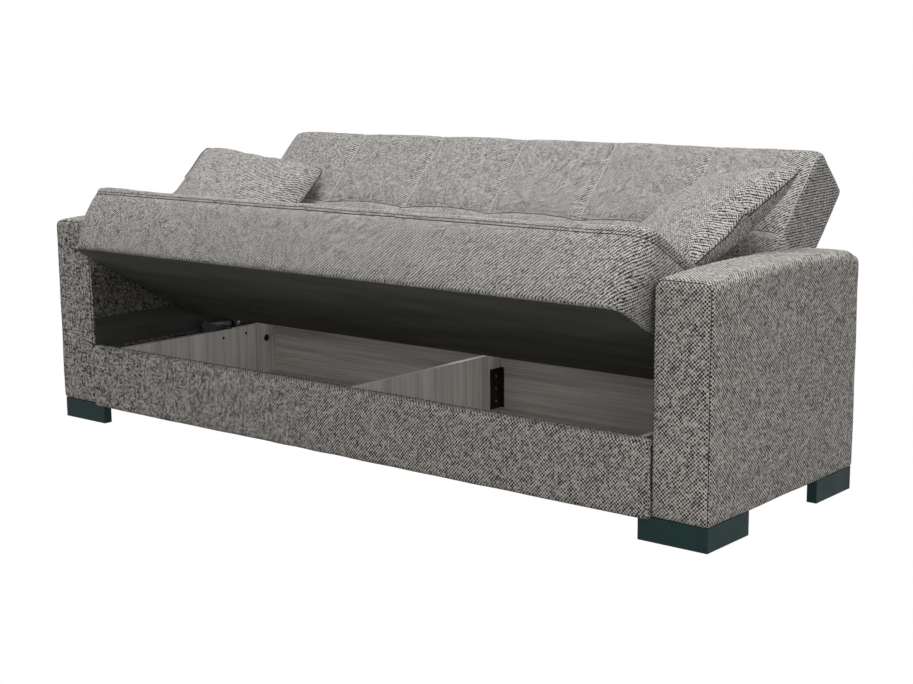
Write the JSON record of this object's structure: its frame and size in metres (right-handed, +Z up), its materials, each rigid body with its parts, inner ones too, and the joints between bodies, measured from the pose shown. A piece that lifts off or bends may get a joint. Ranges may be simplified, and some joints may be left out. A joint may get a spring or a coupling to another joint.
{
  "type": "storage sofa bed",
  "caption": "Wide upholstered storage sofa with block arms, a padded seat that lifts on side hinges over a divided box, a back that reclines flat, corner feet and loose pillows.",
  "frame": {"origin": "on the floor, below the middle of the outer box in the rest pose", "axes": "+X along the sofa to the sitter's left, +Y to the rear, +Z up"},
  "size_m": [2.24, 1.04, 0.824],
  "materials": {
    "seat_fabric": "coarse woven linen look, light and dark taupe-grey yarns",
    "arm_fabric": "the same coarse weave, stretched over the arms and the front panel",
    "black_cloth": "thin matt black lining cloth",
    "foam": "polyurethane foam, hidden inside the covers",
    "timber": "unfinished softwood and chipboard, hidden",
    "melamine": "grey-brown woodgrain melamine with white edging",
    "foot_plastic": "very dark blue-green, satin",
    "black_plastic": "black, satin",
    "zinc_steel": "zinc-plated pressed steel"
  },
  "bodies": {
    "base": {"box_rear_panel": "melamine", "box_partition": "melamine", "left_box_floor": "melamine", "right_box_floor": "melamine", "front_panel_cover": "arm_fabric", "front_panel_board": "timber", "partition_bracket": "black_plastic", "spring_anchor_pins": "zinc_steel", "right_arm_cover": "arm_fabric", "right_arm_boards": "timber", "right_arm_top_pad": "foam", "right_arm_liner": "black_cloth", "right_front_foot": "foot_plastic", "right_rear_foot": "foot_plastic", "right_box_side": "melamine", "right_box_spacers": "timber", "right_hinge_base": "zinc_steel", "right_pivot_bolt": "zinc_steel", "right_lift_spring": "zinc_steel", "left_arm_cover": "arm_fabric", "left_arm_boards": "timber", "left_arm_top_pad": "foam", "left_arm_liner": "black_cloth", "left_front_foot": "foot_plastic", "left_rear_foot": "foot_plastic", "left_box_side": "melamine", "left_box_spacers": "timber", "left_hinge_base": "zinc_steel", "left_pivot_bolt": "zinc_steel", "left_lift_spring": "zinc_steel"},
    "seat": {"seat_cover": "seat_fabric", "seat_dust_cloth": "black_cloth", "seat_rails": "timber", "seat_slats": "timber", "seat_foam": "foam", "right_seat_arm": "zinc_steel", "left_seat_arm": "zinc_steel", "lever_pins": "zinc_steel", "pawl_pins": "zinc_steel", "right_pillow": "seat_fabric", "left_pillow": "seat_fabric"},
    "back": {"back_cover": "seat_fabric", "back_rear_panel": "seat_fabric", "back_rails": "timber", "back_slats": "timber", "back_foam": "foam", "right_back_arm": "zinc_steel", "left_back_arm": "zinc_steel", "right_back_packing": "black_plastic", "left_back_packing": "black_plastic"},
    "right_pawl": {"right_pawl": "zinc_steel"},
    "left_pawl": {"left_pawl": "zinc_steel"}
  },
  "joints": [
    {"name": "seat_lift", "type": "hinge", "parent": "base", "child": "seat", "pos_m": [0, 0.05559, 0.385], "axis": [-1, 0, 0], "range_deg": [-29, 0], "deforming": ["right_lift_spring", "left_lift_spring"]},
    {"name": "back_recline", "type": "hinge", "parent": "base", "child": "back", "pos_m": [0, 0.05559, 0.385], "axis": [-1, 0, 0], "range_deg": [-29, 46.6], "deforming": ["right_pillow", "left_pillow"]},
    {"name": "right_pawl_turn", "type": "hinge", "parent": "seat", "child": "right_pawl", "pos_m": [0, -0.00959, 0.37468], "axis": [1, 0, 0], "range_deg": [0, 12], "stiffness_Nm_per_rad": 0.1, "springref_deg": -17.19},
    {"name": "left_pawl_turn", "type": "hinge", "parent": "seat", "child": "left_pawl", "pos_m": [0, -0.00959, 0.37468], "axis": [1, 0, 0], "range_deg": [0, 12], "stiffness_Nm_per_rad": 0.1, "springref_deg": -17.19}
  ]
}
